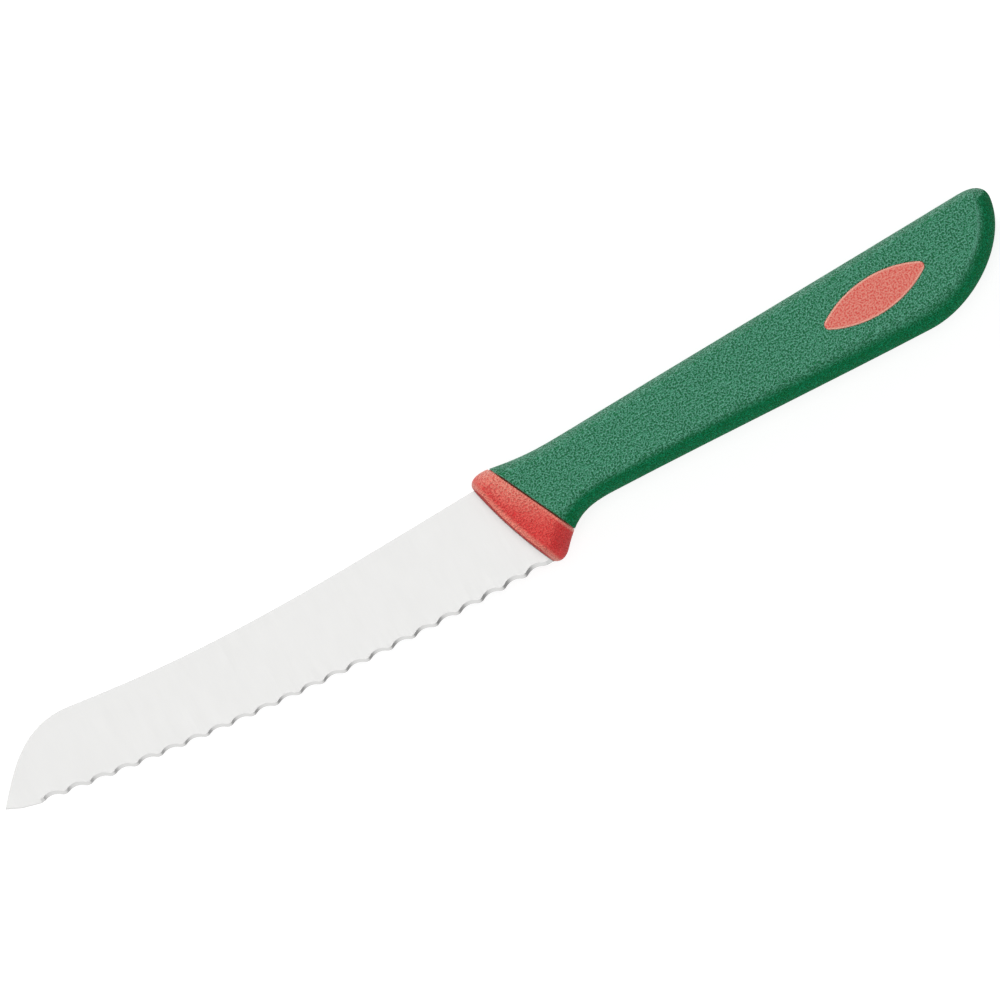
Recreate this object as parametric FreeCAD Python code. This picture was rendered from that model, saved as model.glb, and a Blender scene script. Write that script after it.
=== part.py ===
import FreeCAD
import Part
import math
import os
from collections import namedtuple

# Tomato knife lying on its side: a scalloped blade whose tang is moulded into a two-colour handle.
# X runs from the tip to the butt, Y from the edge to the spine and Z up through the thickness.
# While it is modelled, the origin is where the handle axis meets the collar's face, in the mid-plane.

Vector = FreeCAD.Vector
Station = namedtuple("Station", "place angle flank slide taper crease", defaults=(0, 0, 0))

# Blade
blade_reach = 117.5            # tip to collar, along the handle axis
blade_thickness = 1.8          # sheet that the blade and tang are cut from
edge_thickness = 0.55          # left along the edge by the flat grind
tip_drop = 4.5                 # tip below the handle axis
tip_belly_back = 3.2           # bend in the plain edge, behind the tip
tip_belly_drop = 5.95
plain_tip = 7.25               # plain edge from the tip to the first cusp
first_cusp_drop = 6.98
edge_drop = 14.69              # lowest point of the edge below the handle axis
edge_low_place = 7.5           # that point in front of the collar
hump_back = 19.3               # high point of the spine behind the tip
hump_rise = 7.9
saddle_back = 68.0             # low point of the spine behind the tip
saddle_rise = 4.75
heel_spine_rise = 6.2          # spine above the axis at the collar
heel_seat = 1.2                # depth of the blade's shoulder inside the collar

# Scalloped edge
scallop_pitch = 5.225
scallop_depth = 0.75
cusp_wear = 0.05               # taken off the blank's edge at the cusps
edge_bevel_drop = 0.3          # part of the edge's thickness that the bevel on the near side takes
plain_bevel_drop = 0.08        # the same, along the plain edge at the tip

# Tang
tang_reach = 78.0              # collar face to the end of the tang
tang_width = 8.0
tang_hole = 4.0
tang_hole_start = 26.0         # collar face to the first keying hole
tang_hole_end = 12.0           # last keying hole to the end of the tang

# Handle outline, as distances from the collar's face and from the handle axis
handle_reach = 120.5           # collar face to the end of the butt
handle_thickness = 15.0
brow_lead = 1.5                # top of the collar's face, in front of the axis point
brow_rise = 6.4
collar_top_back = 3.4
collar_rise = 8.6
guard_face_back = 5.7          # foot of the collar's face
guard_face_drop = 14.15
guard_back = 9.8               # rear of the finger guard's tip
guard_drop = 13.68
waist_back = 23.5              # start of the straight belly
waist_drop = 7.85
waist_top_back = 19.5          # start of the straight back
waist_rise = 7.58
butt_sweep = 23.5              # end of the straight belly, in front of the butt's end
butt_drop = 10.35
butt_end_rise = 7.3
butt_round = 5.5               # end of the straight back, in front of the butt's end
butt_rise = 11.25

# Width of the rounded flank between the outline and the flat side
front_flank = 0.65
guard_flank = 5.2
waist_flank = 4.1
belly_flank = 5.8
butt_flank = 3.8
crown_flank = 1.8
brow_flank = 2.5

# Joint between the collar and the grip
joint_back = 7.6               # joint behind the collar's face, on the axis
groove_width = 0.28
groove_depth = 0.25

# Nose of the collar, where the flat sides curve in towards the blade, and crease at the butt
nose_taper = 0.85              # taken off each side at the collar's face
butt_crease = 0.7              # how far the flank's curve starts below the flat side, at the butt

# Core that the tang is moulded into
core_end_wall = 17.5           # grip behind the end of the core, to the end of the butt
core_height = 12.0
core_thickness = 9.0
core_corner = 3.0
tenon_depth = 2.5              # how far the core plugs into the collar
tenon_height = 10.4
tenon_thickness = 7.0
tenon_corner = 2.0
key_start = 22.0               # collar face to the first keying groove
key_pitch = 26.0
key_width = 5.0
key_depth = 0.8

# Inlays in the two flat sides
inlay_length = 24.2
inlay_height = 8.1
inlay_end_radius = 1.2
inlay_plate = 1.4
inlay_rim = 0.35
inlay_ahead = 30.85            # centre in front of the end of the butt
inlay_rise = 1.38
peg_diameter = 3.0
peg_spacing = 11.0
peg_seat = 1.5                 # how deep the pegs go into the core

overrun = 2.0                  # how far a cutting solid reaches past what it cuts

# Angles in degrees, and counts
tip_angle = 51.0
heel_spine_angle = 2.0
guard_face_angle = -63.2
guard_back_angle = 47.4
belly_angle = -1.3
butt_angle = 83.0
crown_angle = -177.6
collar_top_angle = 170.2
brow_angle = -78.5
joint_lean = 26.2
inlay_tilt = 4.0
bevel_angle = 22.0
tang_holes = 3
keys = 3

# Legs of the outline's curves, each as a share of the straight distance between the curve's ends
spine_leg_shares = [(0.42, 0.35), (0.08, 0.61), (0.33, 0.33)]
silhouette_leg_shares = [
    (0.22, 0.68), (0.42, 0.46), (0.33, 0.33), (0.34, 0.33), (0.45, 0.48),
    (0.33, 0.33), (0.40, 0.38), (0.62, 0.30), (0.31, 0.30),
]
flat_leg_shares = [
    (0.28, 0.68), (0.25, 0.50), (0.33, 0.33), (0.55, 0.20), (0.40, 0.42),
    (0.33, 0.33), (0.38, 0.36), (0.57, 0.22), (0.31, 0.31),
]
# Share of the scallops' pitch that the rounded cusps take
cusp_share = 0.3
# How far each point of the flat side slides along the outline, as a share of the flank beside it
guard_face_slide_share = -0.82
guard_back_slide_share = 0.12
butt_slide_share = 0.16
collar_top_slide_share = -0.26
brow_slide_share = 0.97
# Profile of the flank from the flat side to the mid-plane: shares of the flank, the height and the crease
flank_profile_shares = [(1.0, 1.0, 0.0), (0.55, 1.0, 1.0), (0.0, 0.5, 0.0), (0.0, 0.0, 0.0)]

half_thickness = handle_thickness / 2
core_reach = handle_reach - core_end_wall
joint_slope = math.tan(math.radians(joint_lean))
bevel_slope = math.tan(math.radians(bevel_angle))


def heading(degrees):
    return Vector(math.cos(math.radians(degrees)), math.sin(math.radians(degrees)), 0)


def inward(degrees):
    return heading(degrees + 90)


def bezier_poles(start, start_angle, end, end_angle, leg_shares):
    chord = start.distanceToPoint(end)
    first_leg = heading(start_angle) * (chord * leg_shares[0])
    last_leg = heading(end_angle) * (chord * leg_shares[1])
    return [start, start + first_leg, end - last_leg, end]


def bezier_edge(poles):
    curve = Part.BezierCurve()
    curve.setPoles(poles)
    return curve.toShape()


def line(start, end):
    return Part.makeLine(start, end)


def prism(corners, height):
    face = Part.Face(Part.makePolygon(corners + corners[:1]))
    return face.extrude(height)


def cut_each(shape, tools):
    """Cut the tools away one after another, since neighbouring tools cross each other."""
    for tool in tools:
        shape = shape.cut(tool)
    return shape


def solid_of(faces):
    shell = Part.makeShell(faces)
    shell.sewShape()
    solid = Part.makeSolid(shell)
    if solid.Volume < 0:
        solid.reverse()
    return solid


# Handle envelope
def handle_stations():
    """Points of the outline with the flank beside them, anticlockwise from the foot of the collar's face."""
    return [
        Station(Vector(guard_face_back, -guard_face_drop), guard_face_angle, front_flank,
                slide=guard_face_slide_share * guard_flank, taper=nose_taper),
        Station(Vector(guard_back, -guard_drop), guard_back_angle, guard_flank,
                slide=guard_back_slide_share * guard_flank),
        Station(Vector(waist_back, -waist_drop), belly_angle, waist_flank),
        Station(Vector(handle_reach - butt_sweep, -butt_drop), belly_angle, belly_flank),
        Station(Vector(handle_reach, butt_end_rise), butt_angle, butt_flank,
                slide=butt_slide_share * butt_flank, crease=butt_crease),
        Station(Vector(handle_reach - butt_round, butt_rise), crown_angle, crown_flank),
        Station(Vector(waist_top_back, waist_rise), crown_angle, brow_flank),
        Station(Vector(collar_top_back, collar_rise), collar_top_angle, brow_flank,
                slide=collar_top_slide_share * brow_flank),
        Station(Vector(-brow_lead, brow_rise), brow_angle, front_flank,
                slide=brow_slide_share * brow_flank, taper=nose_taper),
    ]


def for_each_pole(values, index):
    """One value for each of a curve's four poles, from the values at the stations of its two ends."""
    after = (index + 1) % len(values)
    return [values[index], values[index], values[after], values[after]]


def outline_curves(points, leg_shares):
    """Poles of the closed chain of curves through the points."""
    angles = [station.angle for station in handle_stations()]
    curves = []
    for index, shares in enumerate(leg_shares):
        after = (index + 1) % len(points)
        curves.append(bezier_poles(points[index], angles[index], points[after], angles[after], shares))
    return curves


def silhouette_curves(inset):
    points = [station.place + inward(station.angle) * inset for station in handle_stations()]
    return outline_curves(points, silhouette_leg_shares)


def flat_side_curves(inset):
    """Curves round the upper side, level with it but for the two ends of the collar's face."""
    stations = handle_stations()
    points = []
    for station in stations:
        across_flank = inward(station.angle) * (inset + station.flank)
        points.append(station.place + across_flank + heading(station.angle) * station.slide)
    heights = [half_thickness - inset - station.taper for station in stations]
    curves = outline_curves(points, flat_leg_shares)
    for index, poles in enumerate(curves):
        for pole, height in zip(poles, for_each_pole(heights, index)):
            pole.z = height
    return curves


def bicubic_face(rows):
    degree = len(rows) - 1
    surface = Part.BSplineSurface()
    surface.buildFromPolesMultsKnots(
        rows, (degree + 1, degree + 1), (degree + 1, degree + 1), (0, 1), (0, 1),
        False, False, degree, degree)
    return surface.toShape()


def flank_face(outer, inner, creases):
    """Rounded flank between one curve of the silhouette and the matching curve of the upper side."""
    rows = []
    for flank_share, height_share, crease_share in flank_profile_shares:
        row = []
        for low, high, crease in zip(outer, inner, creases):
            pole = low * (1 - flank_share) + high * flank_share
            pole.z = high.z * height_share - crease * crease_share
            row.append(pole)
        rows.append(row)
    return bicubic_face(rows)


def nose_face(front, top_side, guard_side):
    """Curved nose of the collar, from the upper side's front curve back to the line between its two sides."""
    last = len(front) - 1
    rows = []
    for back in range(last + 1):
        back_share = back / last
        row = []
        for across in range(last + 1):
            across_share = across / last
            rear = top_side[last] * (1 - across_share) + guard_side[last] * across_share
            front_chord = front[0] * (1 - across_share) + front[last] * across_share
            lengthwise = front[across] * (1 - back_share) + rear * back_share
            crosswise = top_side[back] * (1 - across_share) + guard_side[back] * across_share
            corners = front_chord * (1 - back_share) + rear * back_share
            row.append(lengthwise + crosswise - corners)
        rows.append(row)
    return bicubic_face(rows)


def handle_envelope(inset):
    """Whole handle, drawn in by inset on every side."""
    outer_curves = silhouette_curves(inset)
    inner_curves = flat_side_curves(inset)
    creases = [station.crease for station in handle_stations()]
    half = [
        flank_face(outer_curves[index], inner_curves[index], for_each_pole(creases, index))
        for index in range(len(creases))
    ]
    guard_side = inner_curves[0]
    top_side = inner_curves[-2][::-1]
    front = inner_curves[-1]
    half.append(nose_face(front, top_side, guard_side))
    level_edges = [bezier_edge(poles) for poles in inner_curves[1:-2]]
    half.append(Part.Face(Part.Wire(level_edges + [line(top_side[-1], guard_side[-1])])))
    other_half = [face.mirror(Vector(), Vector(0, 0, 1)) for face in half]
    return solid_of(half + other_half)


def handle_plan():
    """Prism over the handle's silhouette, taller than the handle."""
    wire = Part.Wire([bezier_edge(poles) for poles in silhouette_curves(0)])
    wire.translate(Vector(0, 0, -half_thickness - overrun))
    return Part.Face(wire).extrude(Vector(0, 0, handle_thickness + 2 * overrun))


def behind_joint(shift):
    """Block over everything on the butt's side of the joint, with the joint moved back by shift."""
    low = -guard_face_drop - butt_drop
    high = collar_rise + butt_rise
    end = handle_reach + overrun
    base = -half_thickness - overrun
    corners = [
        Vector(joint_back + shift - low * joint_slope, low, base),
        Vector(end, low, base),
        Vector(end, high, base),
        Vector(joint_back + shift - high * joint_slope, high, base),
    ]
    return prism(corners, Vector(0, 0, handle_thickness + 2 * overrun))


# Blade and tang
first_cusp_x = plain_tip - blade_reach
edge_run = edge_low_place + first_cusp_x
edge_climb = edge_drop - first_cusp_drop
edge_radius = (edge_run ** 2 + edge_climb ** 2) / (2 * edge_climb)
edge_center = Vector(-edge_low_place, edge_radius - edge_drop)
grind_slope_y = (blade_thickness - edge_thickness) / 2 / (heel_spine_rise + edge_drop)
grind_slope_x = -grind_slope_y * edge_climb / first_cusp_x


def edge_point(turn):
    """Point of the line through the cusps, by its angle about the edge's centre."""
    return edge_center + Vector(math.sin(turn), -math.cos(turn)) * edge_radius


def edge_turn(x):
    return math.asin((x + edge_low_place) / edge_radius)


def ground_height(x, y):
    """Height of the flat-ground side above the mid-plane."""
    return edge_thickness / 2 + grind_slope_y * (y + edge_drop) + grind_slope_x * x


def shoulder(y):
    """Point of the blade's shoulder, which follows the collar's face inside the collar."""
    face_share = (brow_rise - y) / (brow_rise + guard_face_drop)
    return Vector(face_share * (guard_face_back + brow_lead) - brow_lead + heel_seat, y)


def blade_outline():
    tip = Vector(-blade_reach, -tip_drop)
    hump = Vector(hump_back - blade_reach, hump_rise)
    saddle = Vector(saddle_back - blade_reach, saddle_rise)
    spine_end = shoulder(heel_spine_rise)
    heel_turn = edge_turn(shoulder(-edge_drop).x)
    heel = edge_point(heel_turn)
    first_turn = edge_turn(first_cusp_x)
    first_cusp = edge_point(first_turn)
    half_tang = tang_width / 2
    tang_top = Vector(tang_reach - half_tang, half_tang)
    tang_foot = Vector(tang_reach - half_tang, -half_tang)
    return Part.Wire([
        bezier_edge(bezier_poles(tip, tip_angle, hump, 0, spine_leg_shares[0])),
        bezier_edge(bezier_poles(hump, 0, saddle, 0, spine_leg_shares[1])),
        bezier_edge(bezier_poles(saddle, 0, spine_end, heel_spine_angle, spine_leg_shares[2])),
        line(spine_end, shoulder(half_tang)),
        line(shoulder(half_tang), tang_top),
        Part.Arc(tang_top, Vector(tang_reach, 0), tang_foot).toShape(),
        line(tang_foot, shoulder(-half_tang)),
        line(shoulder(-half_tang), heel),
        Part.Arc(heel, edge_point((heel_turn + first_turn) / 2), first_cusp).toShape(),
        line(first_cusp, tip_belly()),
        line(tip_belly(), tip),
    ])


def tip_belly():
    return Vector(tip_belly_back - blade_reach, -tip_belly_drop)


def side_grind():
    """What the flat grind takes off the upper side, from the collar's face to the tip."""
    left = -blade_reach - overrun
    right = guard_back
    low = -edge_drop - overrun
    high = hump_rise + overrun
    corners = [
        Vector(x, y, ground_height(x, y))
        for x, y in [(left, low), (right, low), (right, high), (left, high)]
    ]
    return prism(corners, Vector(0, 0, blade_thickness)).cut(handle_plan())


def scallop_point(scallop, depth_share):
    """Point of the edge, by its count of scallops from the first cusp and its share of their depth."""
    turn = edge_turn(first_cusp_x) + scallop * scallop_pitch / edge_radius
    into_blade = Vector(-math.sin(turn), math.cos(turn))
    return edge_point(turn) + into_blade * (cusp_wear + scallop_depth * depth_share)


def scallop_chain(count):
    """Hollows and rounded cusps in turn, as arcs that meet where both have the same slope."""
    half_cusp = cusp_share / 2
    chain = [line(scallop_point(0, 0), scallop_point(half_cusp, cusp_share))]
    for index in range(count):
        hollow_start = scallop_point(index + half_cusp, cusp_share)
        hollow_end = scallop_point(index + 1 - half_cusp, cusp_share)
        chain.append(Part.Arc(hollow_start, scallop_point(index + 0.5, 1), hollow_end).toShape())
        if index + 1 < count:
            next_start = scallop_point(index + 1 + half_cusp, cusp_share)
            chain.append(Part.Arc(hollow_end, scallop_point(index + 1, 0), next_start).toShape())
    chain.append(line(hollow_end, scallop_point(count, 0)))
    return chain


def scallop_cuts():
    """What the grinds from the two sides, which meet at the edge, take off along the scallops."""
    edge_length = (edge_turn(guard_face_back) - edge_turn(first_cusp_x)) * edge_radius
    count = int(edge_length / scallop_pitch)
    first_cusp = scallop_point(0, 0)
    last_cusp = scallop_point(count, 0)
    run_out = scallop_point(count + 2, 0)
    front_foot = Vector(first_cusp.x, -edge_drop - overrun)
    rear_foot = Vector(run_out.x, -edge_drop - overrun)
    foot_lines = [
        line(last_cusp, run_out), line(run_out, rear_foot), line(rear_foot, front_foot),
        line(front_foot, first_cusp),
    ]
    below_edge = Part.Face(Part.Wire(scallop_chain(count) + foot_lines))
    below_edge.translate(Vector(0, 0, edge_thickness / 2 - edge_bevel_drop))
    middle_turn = (edge_turn(first_cusp_x) + edge_turn(guard_face_back)) / 2
    into_blade = Vector(-math.sin(middle_turn), math.cos(middle_turn))
    bevel_width = blade_thickness / bevel_slope
    cuts = []
    for side in (-1, 1):
        grind = below_edge.extrude(into_blade * bevel_width + Vector(0, 0, side * blade_thickness))
        cuts.append(grind.cut(handle_plan()))
    return cuts


def plain_edge_cuts():
    """Flat bevels along the two straight stretches of plain edge at the tip, from both sides."""
    tip = Vector(-blade_reach, -tip_drop)
    cusp = Vector(first_cusp_x, -first_cusp_drop)
    cuts = []
    for start, end in [(tip, tip_belly()), (tip_belly(), cusp)]:
        along = (end - start).normalize()
        into_blade = Vector(-along.y, along.x)
        apex = ground_height(end.x, end.y) - plain_bevel_drop
        width = blade_thickness / bevel_slope
        for side in (-1, 1):
            outer = start - into_blade * overrun
            outer.z = apex - side * overrun * bevel_slope
            inner = start + into_blade * width
            inner.z = apex + side * width * bevel_slope
            corner = Vector(outer.x, outer.y, inner.z)
            cuts.append(prism([outer, inner, corner], along * start.distanceToPoint(end)))
    return cuts


def make_blade():
    blank = Part.Face(blade_outline()).extrude(Vector(0, 0, blade_thickness))
    blank.translate(Vector(0, 0, -blade_thickness / 2))
    upper_grind = side_grind()
    lower_grind = upper_grind.mirror(Vector(), Vector(0, 0, 1))
    hole_pitch = (tang_reach - tang_hole_start - tang_hole_end) / (tang_holes - 1)
    holes = [
        Part.makeCylinder(tang_hole / 2, blade_thickness + 2 * overrun,
                          Vector(tang_hole_start + index * hole_pitch, 0,
                                 -blade_thickness / 2 - overrun))
        for index in range(tang_holes)
    ]
    return cut_each(blank, [upper_grind, lower_grind] + holes + scallop_cuts() + plain_edge_cuts())


# Inlays
def inlay_outline():
    """Lens with rounded ends: two shallow arcs joined by two small ones."""
    half_height = inlay_height / 2
    end_center = inlay_length / 2 - inlay_end_radius
    side_radius = (end_center ** 2 + half_height ** 2 - inlay_end_radius ** 2)
    side_radius = side_radius / (2 * (half_height - inlay_end_radius))
    side_center = side_radius - half_height
    reach_share = side_radius / (side_radius - inlay_end_radius)
    touch_x = end_center * reach_share
    touch_y = side_center * reach_share - side_center
    upper = Part.Arc(Vector(-touch_x, touch_y), Vector(0, half_height), Vector(touch_x, touch_y))
    lower = Part.Arc(Vector(touch_x, -touch_y), Vector(0, -half_height), Vector(-touch_x, -touch_y))
    rear = Part.Arc(Vector(touch_x, touch_y), Vector(inlay_length / 2, 0), Vector(touch_x, -touch_y))
    front = Part.Arc(Vector(-touch_x, -touch_y), Vector(-inlay_length / 2, 0), Vector(-touch_x, touch_y))
    return Part.Wire([upper.toShape(), rear.toShape(), lower.toShape(), front.toShape()])


def inlay_blank():
    """Plate of the inlay before its rim is rounded."""
    return Part.Face(inlay_outline()).extrude(Vector(0, 0, inlay_plate))


def on_pegs(plate):
    """The plate flush with the left side, on two pegs that go through the grip into the core."""
    floor = half_thickness - inlay_plate
    plate.translate(Vector(0, 0, floor))
    peg_foot = core_thickness / 2 - peg_seat
    for side in (-1, 1):
        foot = Vector(side * peg_spacing / 2, 0, peg_foot)
        plate = plate.fuse(Part.makeCylinder(peg_diameter / 2, floor - peg_foot, foot))
    plate.rotate(Vector(), Vector(0, 0, 1), inlay_tilt)
    plate.translate(Vector(handle_reach - inlay_ahead, inlay_rise, 0))
    return plate


def make_left_inlay():
    blank = inlay_blank()
    top_edges = [edge for edge in blank.Edges if edge.BoundBox.ZMin > inlay_plate / 2]
    return on_pegs(blank.makeFillet(inlay_rim, top_edges))


def on_both_sides(shape):
    return [shape, shape.mirror(Vector(), Vector(0, 0, 1))]


# Core, collar and grip
def rounded_bar(height, thickness, corner):
    """Bar along the handle axis, from the blade's tip side of the collar to the end of the core."""
    front = -brow_lead - overrun
    bar = Part.makeBox(core_reach - front, height, thickness, Vector(front, -height / 2, -thickness / 2))
    long_edges = [edge for edge in bar.Edges if edge.BoundBox.XLength > core_reach / 2]
    return bar.makeFillet(corner, long_edges)


def keying_grooves():
    """Shallow grooves all round the core, which the grip fills."""
    inner = rounded_bar(core_height - 2 * key_depth, core_thickness - 2 * key_depth, core_corner - key_depth)
    grooves = []
    for index in range(keys):
        start = Vector(key_start + index * key_pitch, -core_height, -core_thickness)
        band = Part.makeBox(key_width, 2 * core_height, 2 * core_thickness, start)
        grooves.append(band.cut(inner))
    return grooves


def make_core(blade, inlay_seats):
    stem = rounded_bar(core_height, core_thickness, core_corner).common(behind_joint(0))
    tenon = rounded_bar(tenon_height, tenon_thickness, tenon_corner).common(behind_joint(-tenon_depth))
    return cut_each(stem.fuse(tenon), keying_grooves() + [blade] + inlay_seats)


def make_collar(envelope, blade, core):
    groove = envelope.common(behind_joint(-groove_width)).cut(behind_joint(0))
    groove = groove.cut(handle_envelope(groove_depth))
    return cut_each(envelope, [behind_joint(0), groove, blade, core])


def make_grip(envelope, blade, core, inlay_seats):
    return cut_each(envelope.common(behind_joint(0)), [blade, core] + inlay_seats)


def make_parts():
    envelope = handle_envelope(0)
    blade = make_blade()
    left_inlay, right_inlay = on_both_sides(make_left_inlay())
    inlay_seats = on_both_sides(on_pegs(inlay_blank()))
    core = make_core(blade, inlay_seats)
    return {
        "blade": blade,
        "handle_core": core,
        "front_collar": make_collar(envelope, blade, core),
        "grip": make_grip(envelope, blade, core, inlay_seats),
        "left_inlay": left_inlay,
        "right_inlay": right_inlay,
    }


def stand_on_origin(parts):
    """Move the knife so that the origin is under the middle of its box."""
    box = Part.makeCompound(list(parts.values())).optimalBoundingBox(False)
    shift = Vector(-box.Center.x, -box.Center.y, -box.ZMin)
    for shape in parts.values():
        shape.translate(shift)


knife = make_parts()
stand_on_origin(knife)
os.makedirs("parts", exist_ok=True)
for name, shape in knife.items():
    shape.exportStep("parts/" + name + ".step")
    print(name, len(shape.Solids), "solid", round(shape.Volume), "mm3", shape.isValid())
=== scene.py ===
import bpy
import math
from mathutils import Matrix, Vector
from types import SimpleNamespace


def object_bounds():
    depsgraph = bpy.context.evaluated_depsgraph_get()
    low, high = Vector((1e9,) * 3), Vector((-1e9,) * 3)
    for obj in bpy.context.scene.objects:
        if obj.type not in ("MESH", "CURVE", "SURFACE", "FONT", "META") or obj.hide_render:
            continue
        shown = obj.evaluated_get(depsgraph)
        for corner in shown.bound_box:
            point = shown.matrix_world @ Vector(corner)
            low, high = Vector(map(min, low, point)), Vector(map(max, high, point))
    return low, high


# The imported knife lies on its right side: blade towards -X, spine towards +Y and left side up.
# Lengths are in metres, and colours are linear.
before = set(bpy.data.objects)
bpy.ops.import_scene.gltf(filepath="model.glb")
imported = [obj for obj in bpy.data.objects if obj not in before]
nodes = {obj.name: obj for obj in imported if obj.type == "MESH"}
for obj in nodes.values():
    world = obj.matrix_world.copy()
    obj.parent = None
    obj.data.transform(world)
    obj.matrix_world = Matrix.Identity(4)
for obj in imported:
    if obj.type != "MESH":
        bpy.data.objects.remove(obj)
cad_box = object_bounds()
mid_plane = (cad_box[0][2] + cad_box[1][2]) / 2
bpy.ops.object.select_all(action="DESELECT")


# Blade: one piece of 1.8 mm stainless sheet with its tang, ground flat towards the edge and satin
# finished across its width. The scallops are ground in last, so their bevels are smoother, and a dark
# line of painted contact shadow is laid on the steel where the blade goes into the collar.
steel_colour = (0.480, 0.479, 0.474, 1)
# Colour and reach of the painted contact shadow on the steel in front of the collar.
contact_shadow_colour = (0.150, 0.085, 0.060, 1)
contact_shadow_reach = (-0.0001, 0.00015)
collar_face_centre = (0.0853, 0.0277, mid_plane)
collar_face_radius = 0.0905
satin_roughness = (0.36, 0.42)
bevel_roughness = 0.28
bevel_tilt_range = (0.94, 0.985)
satin_line_scale = (5200, 130, 600)
satin_line_detail = 3.0
satin_line_roughness = 0.6
satin_strength = 0.6
satin_depth = 0.000002


def set_input(tree, socket, value):
    """Set a socket to a value, or link it where the value is a socket itself."""
    if isinstance(value, bpy.types.NodeSocket):
        tree.links.new(value, socket)
    else:
        socket.default_value = value


def add_node(tree, kind, **inputs):
    made = tree.nodes.new(kind)
    for name, value in inputs.items():
        set_input(tree, made.inputs[name.replace("_", " ")], value)
    return made


def add_math(tree, operation, *operands):
    made = tree.nodes.new("ShaderNodeMath")
    made.operation = operation
    for socket, operand in zip(made.inputs, operands):
        set_input(tree, socket, operand)
    return made.outputs["Value"]


def add_vector_measure(tree, operation, first, second):
    """Number that a vector operation gives, such as a distance or a dot product."""
    made = tree.nodes.new("ShaderNodeVectorMath")
    made.operation = operation
    set_input(tree, made.inputs[0], first)
    set_input(tree, made.inputs[1], second)
    return made.outputs["Value"]


def add_ramp(tree, value, start, end, first=0.0, last=1.0):
    """Value that goes smoothly from first to last while the given value goes from start to end."""
    made = add_node(tree, "ShaderNodeMapRange", Value=value, From_Min=start, From_Max=end,
                    To_Min=first, To_Max=last)
    made.interpolation_type = "SMOOTHSTEP"
    return made.outputs["Result"]


def add_colour_mix(tree, factor, first, second):
    """Colour between two colours, which the Mix node has at inputs 6 and 7 and at output 2."""
    made = tree.nodes.new("ShaderNodeMix")
    made.data_type = "RGBA"
    set_input(tree, made.inputs["Factor"], factor)
    set_input(tree, made.inputs[6], first)
    set_input(tree, made.inputs[7], second)
    return made.outputs[2]


def start_material(name):
    material = bpy.data.materials.new(name)
    material.use_nodes = True
    return material, material.node_tree, material.node_tree.nodes["Principled BSDF"]


def wear_material(node_name, material):
    for material_slot in nodes[node_name].material_slots:
        material_slot.material = material


def add_reach_from_face(tree, place):
    """Distance in front of the collar's face, which is a wide arc across the blade."""
    from_centre = add_vector_measure(tree, "DISTANCE", place, collar_face_centre)
    return add_math(tree, "SUBTRACT", from_centre, collar_face_radius)


def satin_steel():
    material, tree, shader = start_material("satin_steel")
    link = tree.links.new
    coordinates = add_node(tree, "ShaderNodeTexCoord")
    place = coordinates.outputs["Object"]
    # Painted contact shadow: a dark, less metallic line on the steel just in front of the collar's face.
    contact_shadow = add_ramp(tree, add_reach_from_face(tree, place), *contact_shadow_reach, 1, 0)
    link(add_colour_mix(tree, contact_shadow, steel_colour, contact_shadow_colour), shader.inputs["Base Color"])
    link(add_math(tree, "SUBTRACT", 1, contact_shadow), shader.inputs["Metallic"])

    stretched = add_node(tree, "ShaderNodeMapping", Vector=place, Scale=satin_line_scale)
    lines = add_node(tree, "ShaderNodeTexNoise", Vector=stretched.outputs["Vector"], Scale=1.0,
                     Detail=satin_line_detail, Roughness=satin_line_roughness).outputs["Fac"]
    satin = add_ramp(tree, lines, 0, 1, *satin_roughness)
    facing = add_node(tree, "ShaderNodeSeparateXYZ", Vector=coordinates.outputs["Normal"])
    upright = add_math(tree, "ABSOLUTE", facing.outputs["Z"])
    flatness = add_ramp(tree, upright, *bevel_tilt_range)
    finish = add_node(tree, "ShaderNodeMix", Factor=flatness, A=bevel_roughness, B=satin)
    link(finish.outputs["Result"], shader.inputs["Roughness"])
    scratches = add_node(tree, "ShaderNodeBump", Strength=satin_strength, Distance=satin_depth, Height=lines)
    link(scratches.outputs["Normal"], shader.inputs["Normal"])
    return material


wear_material("blade", satin_steel())


# Handle core: rigid red plastic moulded round the tang, out of sight under the collar and the grip.
# It is the first shot, so it shows only the faint flow marks of the mould.
core_red = (0.56, 0.055, 0.045, 1)
core_dark_red = (0.50, 0.045, 0.038, 1)
core_roughness = 0.55
flow_mark_scale = 90
flow_mark_detail = 2.0


def core_plastic():
    material, tree, shader = start_material("core_plastic")
    shader.inputs["Roughness"].default_value = core_roughness
    place = add_node(tree, "ShaderNodeTexCoord").outputs["Object"]
    flow = add_node(tree, "ShaderNodeTexNoise", Vector=place, Scale=flow_mark_scale,
                    Detail=flow_mark_detail).outputs["Fac"]
    tone = add_colour_mix(tree, flow, core_red, core_dark_red)
    tree.links.new(tone, shader.inputs["Base Color"])
    return material


wear_material("handle_core", core_plastic())


# Front collar: red plastic moulded round the blade's shoulder, with the flared finger guard and a fine
# groove against the grip. Its spark-eroded mould leaves a grain, whose tips are painted pale as painted
# sheen beside the grip and along the back, with painted highlights on both edges, and dirt collects in the
# joint.
collar_red = (0.645, 0.050, 0.046, 1)
collar_pit_red = (0.580, 0.021, 0.024, 1)
# Pale red of the painted sheen and painted highlights on the collar.
collar_sheen_red = (0.750, 0.272, 0.200, 1)
collar_grain_depth = 0.00020
collar_sheen_range = (0.80, 1.0)
collar_roughness = (0.62, 0.36)
collar_specular = 0.25
collar_haze = 0.35
collar_joint_sheen_only = 0.9
grain_cells_through = 41
grain_scale = grain_cells_through / (cad_box[1][2] - cad_box[0][2])
grain_range = (0.27, 0.67)
# Painted sheen: grain tips facing up, and facing the back where the key light falls, are painted paler.
sheen_along_back = 1.2
back_turn_range = (0.05, 0.35)
back_loss_share = 0.8
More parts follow.
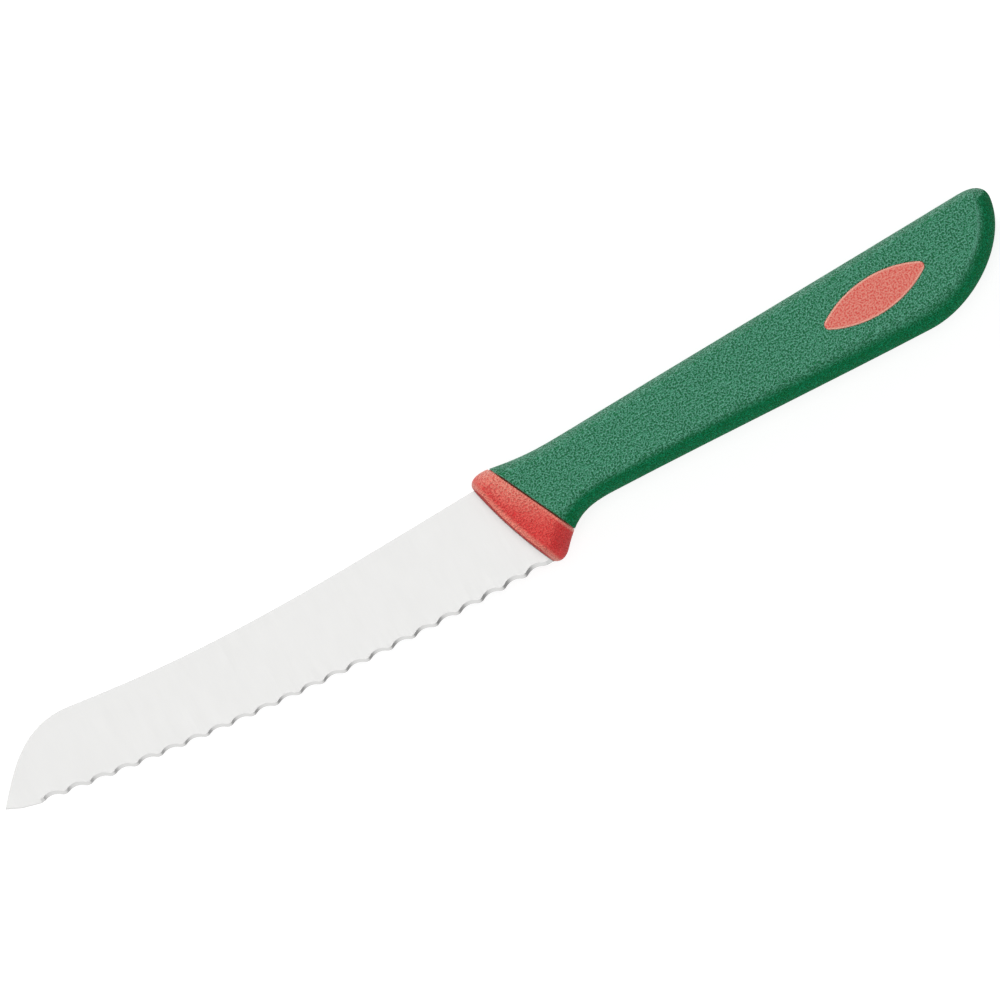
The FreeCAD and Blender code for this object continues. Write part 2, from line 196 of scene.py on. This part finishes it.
# Painted sheen on the collar beside the joint, where its flat side catches the overhead light.
joint_sheen_reach = (0.0003, 0.0055)
joint_sheen_rise = (-0.010, 0.007)
# Painted highlight along the collar's front lip, just behind its face.
lip_reach = (-0.0017, -0.0005)
lip_highlight = 0.75
face_lean = math.radians(18.5)
face_turn_range = (0.80, 0.985)
face_highlight_share = 0.1
# Painted highlight along the collar's rear edge beside the joint.
joint_edge_reach = (0.0011, 0.0005)
joint_edge_highlight = 0.70
pit_paling_share = 0.7
parting_line_width = 0.00016
parting_line_share = 0.6
dirt_colour = (0.085, 0.032, 0.016, 1)
joint_lean = math.radians(26.2)
joint_dirt_reach = 0.00022
flat_side_range = (0.3, 0.95)
flank_dirt_share = 0.05
joint_facing = Vector((math.cos(joint_lean), math.sin(joint_lean), 0))
joint_place = max(vertex.co.dot(joint_facing) for vertex in nodes["front_collar"].data.vertices)


def start_group(name, inputs, outputs):
    """New node group of number sockets, with the place and the facing of the surface at hand."""
    tree = bpy.data.node_groups.new(name, "ShaderNodeTree")
    for in_out, socket_names in (("INPUT", inputs), ("OUTPUT", outputs)):
        for socket_name in socket_names:
            tree.interface.new_socket(name=socket_name, in_out=in_out, socket_type="NodeSocketFloat")
    coordinates = tree.nodes.new("ShaderNodeTexCoord")
    place = coordinates.outputs["Object"]
    facing = add_node(tree, "ShaderNodeSeparateXYZ", Vector=coordinates.outputs["Normal"]).outputs
    along = add_vector_measure(tree, "DOT_PRODUCT", place, joint_facing)
    return SimpleNamespace(
        tree=tree,
        given=tree.nodes.new("NodeGroupInput").outputs,
        result=tree.nodes.new("NodeGroupOutput").inputs,
        place=place,
        normal=coordinates.outputs["Normal"],
        at=add_node(tree, "ShaderNodeSeparateXYZ", Vector=place).outputs,
        facing=facing,
        upright=add_math(tree, "ABSOLUTE", facing["Z"]),
        from_joint=add_math(tree, "ABSOLUTE", add_math(tree, "SUBTRACT", along, joint_place)),
    )


def add_product(tree, first, *others):
    product = first
    for other in others:
        product = add_math(tree, "MULTIPLY", product, other)
    return product


def make_moulded_grain():
    """Group for the mould's grain and parting line, and for how much painted sheen the grain's tips get."""
    group = start_group(
        "moulded_grain", ("Sheen Start", "Sheen End", "Haze", "Joint Sheen Only"), ("Height", "Tone", "Sheen Tips"))
    tree = group.tree
    given = group.given
    noise = add_node(tree, "ShaderNodeTexNoise", Vector=group.place, Scale=grain_scale, Detail=0.0)
    grain = add_node(tree, "ShaderNodeMapRange", Value=noise.outputs["Fac"],
                     From_Min=grain_range[0], From_Max=grain_range[1]).outputs["Result"]
    from_middle = add_math(tree, "ABSOLUTE", add_math(tree, "SUBTRACT", group.at["Z"], mid_plane))
    parting_line = add_ramp(tree, from_middle, parting_line_width / 2, parting_line_width,
                            parting_line_share, 0)
    tree.links.new(add_math(tree, "ADD", grain, parting_line), group.result["Height"])
    tree.links.new(grain, group.result["Tone"])

    # Painted sheen on the grain's tips, strongest where the surface faces up or towards the back, where the
    # lamps light it.
    towards_back = add_math(tree, "MAXIMUM", group.facing["Y"], 0)
    facing_lamps = add_math(tree, "MULTIPLY_ADD", towards_back, sheen_along_back, group.upright)
    sheen = add_ramp(tree, facing_lamps, given["Sheen Start"], given["Sheen End"])
    # Painted sheen beside the joint; elsewhere the collar loses most of its sheen except towards the back.
    beside_joint = add_ramp(tree, group.from_joint, *joint_sheen_reach, 1, 0)
    sheen_by_joint = add_product(tree, beside_joint, add_ramp(tree, group.at["Y"], *joint_sheen_rise))
    off_joint_sheen = add_math(tree, "SUBTRACT", 1, sheen_by_joint)
    off_back = add_ramp(tree, towards_back, *back_turn_range, 1, back_loss_share)
    lost = add_product(tree, off_joint_sheen, off_back, given["Joint Sheen Only"])
    tips = add_ramp(tree, grain, 0, 1, given["Haze"], 1)
    sheen_tips = add_product(tree, tips, sheen, add_math(tree, "SUBTRACT", 1, lost))
    tree.links.new(sheen_tips, group.result["Sheen Tips"])
    return tree


def make_joint_dirt():
    """Group for the dirt in the joint of the collar and the grip, most of it on the flat sides."""
    group = start_group("joint_dirt", (), ("Dirt",))
    tree = group.tree
    in_joint = add_ramp(tree, group.from_joint, joint_dirt_reach / 2, joint_dirt_reach, 1, 0)
    on_flats = add_ramp(tree, group.upright, *flat_side_range, flank_dirt_share, 1)
    tree.links.new(add_product(tree, in_joint, on_flats), group.result["Dirt"])
    return tree


def make_edge_highlights():
    """Group for painted highlights on the collar's edges: round its face, which is spared, and along the
    joint.
    """
    group = start_group("edge_highlights", (), ("Paler",))
    tree = group.tree
    face_facing = (-math.cos(face_lean), -math.sin(face_lean), 0)
    towards_blade = add_vector_measure(tree, "DOT_PRODUCT", group.normal, face_facing)
    off_face = add_ramp(tree, towards_blade, *face_turn_range, 1, face_highlight_share)
    by_face = add_ramp(tree, add_reach_from_face(tree, group.place), *lip_reach, 0, lip_highlight)
    on_lip = add_product(tree, by_face, off_face)
    by_joint = add_ramp(tree, group.from_joint, *joint_edge_reach, 0, joint_edge_highlight)
    tree.links.new(add_math(tree, "MAXIMUM", on_lip, by_joint), group.result["Paler"])
    return tree


moulded_grain = make_moulded_grain()
joint_dirt = make_joint_dirt()


def add_group(tree, group, inputs):
    made = tree.nodes.new("ShaderNodeGroup")
    made.node_tree = group
    for name, value in inputs.items():
        set_input(tree, made.inputs[name], value)
    return made.outputs


def grained_plastic(name, colours, grain_depth, roughness, specular, sheen_range,
                    haze=0.0, joint_sheen_only=0.0, paled_places=None):
    """Plastic with the mould's grain on it, darker in the pits, and paler and smoother where painted sheen
    lies on the tips.
    """
    pit, tip, pale_colour = colours
    material, tree, shader = start_material(name)
    link = tree.links.new
    shader.inputs["Specular IOR Level"].default_value = specular
    grain = add_group(tree, moulded_grain, {
        "Sheen Start": sheen_range[0], "Sheen End": sheen_range[1], "Haze": haze, "Joint Sheen Only": joint_sheen_only})
    dirt = add_group(tree, joint_dirt, {})
    paled = grain["Sheen Tips"]
    if paled_places:
        # Painted highlights on edges, and the inlays' paler rims, go on top, weaker in the pits.
        patchy = add_ramp(tree, grain["Tone"], 0, 1, pit_paling_share, 1)
        places = add_product(tree, add_group(tree, paled_places, {})["Paler"], patchy)
        paled = add_math(tree, "MAXIMUM", paled, places)
    tone = add_colour_mix(tree, grain["Tone"], pit, tip)
    clean = add_colour_mix(tree, paled, tone, pale_colour)
    link(add_colour_mix(tree, dirt["Dirt"], clean, dirt_colour), shader.inputs["Base Color"])
    link(add_ramp(tree, paled, 0, 1, *roughness), shader.inputs["Roughness"])
    relief = add_node(tree, "ShaderNodeBump", Strength=1.0, Distance=grain_depth, Height=grain["Height"])
    link(relief.outputs["Normal"], shader.inputs["Normal"])
    return material


wear_material("front_collar", grained_plastic(
    "collar_plastic", (collar_pit_red, collar_red, collar_sheen_red),
    collar_grain_depth, collar_roughness, collar_specular, collar_sheen_range,
    haze=collar_haze, joint_sheen_only=collar_joint_sheen_only, paled_places=make_edge_highlights()))


# Grip: green elastomer moulded over the core and up to the collar, with an anti-slip grain all over
# whose tips are painted pale and made smoother as painted sheen on the flat sides and along the back, and as
# a painted highlight on the butt's upper crease.
grip_green = (0.003, 0.200, 0.082, 1)
grip_pit_green = (0.0, 0.118, 0.027, 1)
# Pale green of the painted sheen on the grip and of the painted highlight on the butt's crease.
grip_sheen_green = (0.097, 0.316, 0.209, 1)
grip_grain_depth = 0.00040
grip_sheen_range = (0.62, 0.99)
grip_roughness = (0.72, 0.36)
grip_specular = 0.07
grip_haze = 0.15
butt_crease_reach = 0.020
butt_crease_start = cad_box[1][0] - butt_crease_reach
crease_rise = (0.12, 0.30)
crease_fall = (0.45, 0.60)
crease_height = (-0.003, 0.002)


def make_butt_highlight():
    """Group for a painted highlight on the crease between the flat side and the butt's flank."""
    group = start_group("butt_highlight", (), ("Paler",))
    tree = group.tree
    tilt = add_math(tree, "SINE", add_math(tree, "ARCCOSINE", group.upright))
    paled = add_product(
        tree,
        add_ramp(tree, tilt, *crease_rise),
        add_ramp(tree, tilt, *crease_fall, 1, 0),
        add_ramp(tree, group.facing["X"], 0, crease_rise[0]),
        add_ramp(tree, group.at["Y"], *crease_height),
        add_math(tree, "GREATER_THAN", group.at["X"], butt_crease_start))
    tree.links.new(paled, group.result["Paler"])
    return tree


wear_material("grip", grained_plastic(
    "grip_plastic", (grip_pit_green, grip_green, grip_sheen_green),
    grip_grain_depth, grip_roughness, grip_specular, grip_sheen_range,
    haze=grip_haze, paled_places=make_butt_highlight()))


# Inlays: two red lens-shaped plates pegged through the grip into the core, flush with the flat sides.
# Their mould is nearly smooth. Painted sheen lies on their faces, and they are paler along their rounded
# rims.
inlay_red = (0.590, 0.098, 0.076, 1)
inlay_pit_red = (0.540, 0.064, 0.050, 1)
# Pale red of the painted sheen on the inlays' faces, also laid along their rims.
inlay_pale_red = (0.700, 0.355, 0.270, 1)
inlay_grain_depth = 0.00005
inlay_sheen_range = (0.60, 1.50)
inlay_roughness = (0.50, 0.36)
inlay_specular = 0.30
inlay_tilt = math.radians(4)
inlay_half_height = 0.00405
inlay_side_radius = 0.02347
rim_reach = (-0.0007, -0.0003)
rim_paleness = 0.95


def middle_of_inlay(axis):
    places = [vertex.co[axis] for vertex in nodes["left_inlay"].data.vertices]
    return (min(places) + max(places)) / 2


inlay_middle = Vector((middle_of_inlay(0), middle_of_inlay(1), 0))
inlay_across = Vector((-math.sin(inlay_tilt), math.cos(inlay_tilt), 0))


def make_rim_paleness():
    """Group for a paler band along the outline of an inlay, which is a lens between two wide arcs."""
    group = start_group("rim_paleness", (), ("Paler",))
    tree = group.tree
    flat_place = add_node(tree, "ShaderNodeMapping", Vector=group.place, Scale=(1, 1, 0)).outputs["Vector"]
    to_arc_centre = inlay_across * (inlay_side_radius - inlay_half_height)
    from_first = add_vector_measure(tree, "DISTANCE", flat_place, inlay_middle + to_arc_centre)
    from_second = add_vector_measure(tree, "DISTANCE", flat_place, inlay_middle - to_arc_centre)
    from_outline = add_math(
        tree, "SUBTRACT", add_math(tree, "MAXIMUM", from_first, from_second), inlay_side_radius)
    tree.links.new(add_ramp(tree, from_outline, *rim_reach, 0, rim_paleness), group.result["Paler"])
    return tree


inlay_material = grained_plastic(
    "inlay_plastic", (inlay_pit_red, inlay_red, inlay_pale_red),
    inlay_grain_depth, inlay_roughness, inlay_specular, inlay_sheen_range, paled_places=make_rim_paleness())
for side in ("left_inlay", "right_inlay"):
    wear_material(side, inlay_material)


# Floor: a pale sheet under the knife. It glows for the camera and in reflections, which makes it white,
# and keeps a faint shadow.
floor_reach = 9.0
floor_gap = 0.0002
floor_grey = (0.42, 0.42, 0.42, 1)
floor_roughness = 0.9
floor_glow = 0.70

bpy.ops.mesh.primitive_plane_add(size=floor_reach, location=(0, 0, -floor_gap))
floor = bpy.context.object
floor.name = "floor"


def white_sweep():
    material, tree, shader = start_material("white_sweep")
    shader.inputs["Base Color"].default_value = floor_grey
    shader.inputs["Roughness"].default_value = floor_roughness
    shader.inputs["Specular IOR Level"].default_value = 0.0
    shader.inputs["Emission Color"].default_value = (1, 1, 1, 1)
    ray = add_node(tree, "ShaderNodeLightPath").outputs
    mirrored = add_math(tree, "MAXIMUM", ray["Is Glossy Ray"], ray["Is Transmission Ray"])
    seen = add_math(tree, "MAXIMUM", ray["Is Camera Ray"], mirrored)
    tree.links.new(add_math(tree, "MULTIPLY", seen, floor_glow), shader.inputs["Emission Strength"])
    return material


floor.data.materials.append(white_sweep())


# Light: a softbox overhead, a key softbox on the spine's side, a wide, weak fill on the edge's side,
# a low one at the butt's end and an even room light. The key and the low one are kept out of
# reflections, which show a pale room instead, so that the blade doesn't flare from any side.
photo_turn = math.radians(29)
photo_right = Vector((math.cos(photo_turn), -math.sin(photo_turn), 0))
photo_up = Vector((math.sin(photo_turn), math.cos(photo_turn), 0))
room_light = 0.28
room_reflection = 0.45


def add_softbox(name, towards, elevation, distance, half_angle, radiance):
    """Round lamp that faces the knife, as wide as its half angle makes it, with the angles in degrees."""
    lift = math.radians(elevation)
    place = (towards.normalized() * math.cos(lift) + Vector((0, 0, math.sin(lift)))) * distance
    radius = distance * math.tan(math.radians(half_angle))
    bpy.ops.object.light_add(type="AREA", location=place)
    lamp = bpy.context.object
    lamp.name = name
    lamp.data.shape = "DISK"
    lamp.data.size = 2 * radius
    lamp.data.energy = radiance * math.pi * math.pi * radius ** 2
    lamp.rotation_euler = place.to_track_quat("Z", "Y").to_euler()
    return lamp


key_side = photo_up * 0.8 - photo_right * 0.6
fill_side = -photo_up - photo_right * 0.1
low_side = photo_right - photo_up * 0.15
add_softbox("overhead_softbox", photo_up, elevation=90, distance=3.4, half_angle=18, radiance=2.3)
key = add_softbox("key_softbox", key_side, elevation=32, distance=3.0, half_angle=16, radiance=9.6)
add_softbox("fill_softbox", fill_side, elevation=38, distance=3.0, half_angle=34, radiance=1.10)
low = add_softbox("low_softbox", low_side, elevation=16, distance=3.0, half_angle=14, radiance=3.5)
for lamp in (key, low):
    lamp.visible_glossy = False


def pale_room():
    world = bpy.data.worlds.new("room")
    world.use_nodes = True
    tree = world.node_tree
    ray = add_node(tree, "ShaderNodeLightPath").outputs
    seen = add_math(tree, "MAXIMUM", ray["Is Camera Ray"], ray["Is Transmission Ray"])
    mirrored = add_math(tree, "MULTIPLY", ray["Is Glossy Ray"], room_reflection)
    shown = add_math(tree, "MAXIMUM", seen, mirrored)
    background = tree.nodes["Background"]
    background.inputs["Color"].default_value = (1, 1, 1, 1)
    tree.links.new(add_math(tree, "MAXIMUM", shown, room_light), background.inputs["Strength"])
    return world


bpy.context.scene.world = pale_room()


# Camera: straight above the knife, with a long lens, turned so that the knife lies as in the photograph.
# The field is the width that it takes in at the knife's plane.
photo_field = 0.20534
photo_centre = (0.00074, 0.00377)
lens = 400
sensor_width = 36
knife_plane = 0.010
far_clip = 50
camera_height = knife_plane + photo_field * lens / sensor_width
bpy.ops.object.camera_add(location=(*photo_centre, camera_height), rotation=(0, 0, -photo_turn))
camera = bpy.context.object
camera.data.lens = lens
camera.data.sensor_width = sensor_width
camera.data.clip_end = far_clip
bpy.context.scene.camera = camera
bpy.context.scene.view_settings.view_transform = "Standard"
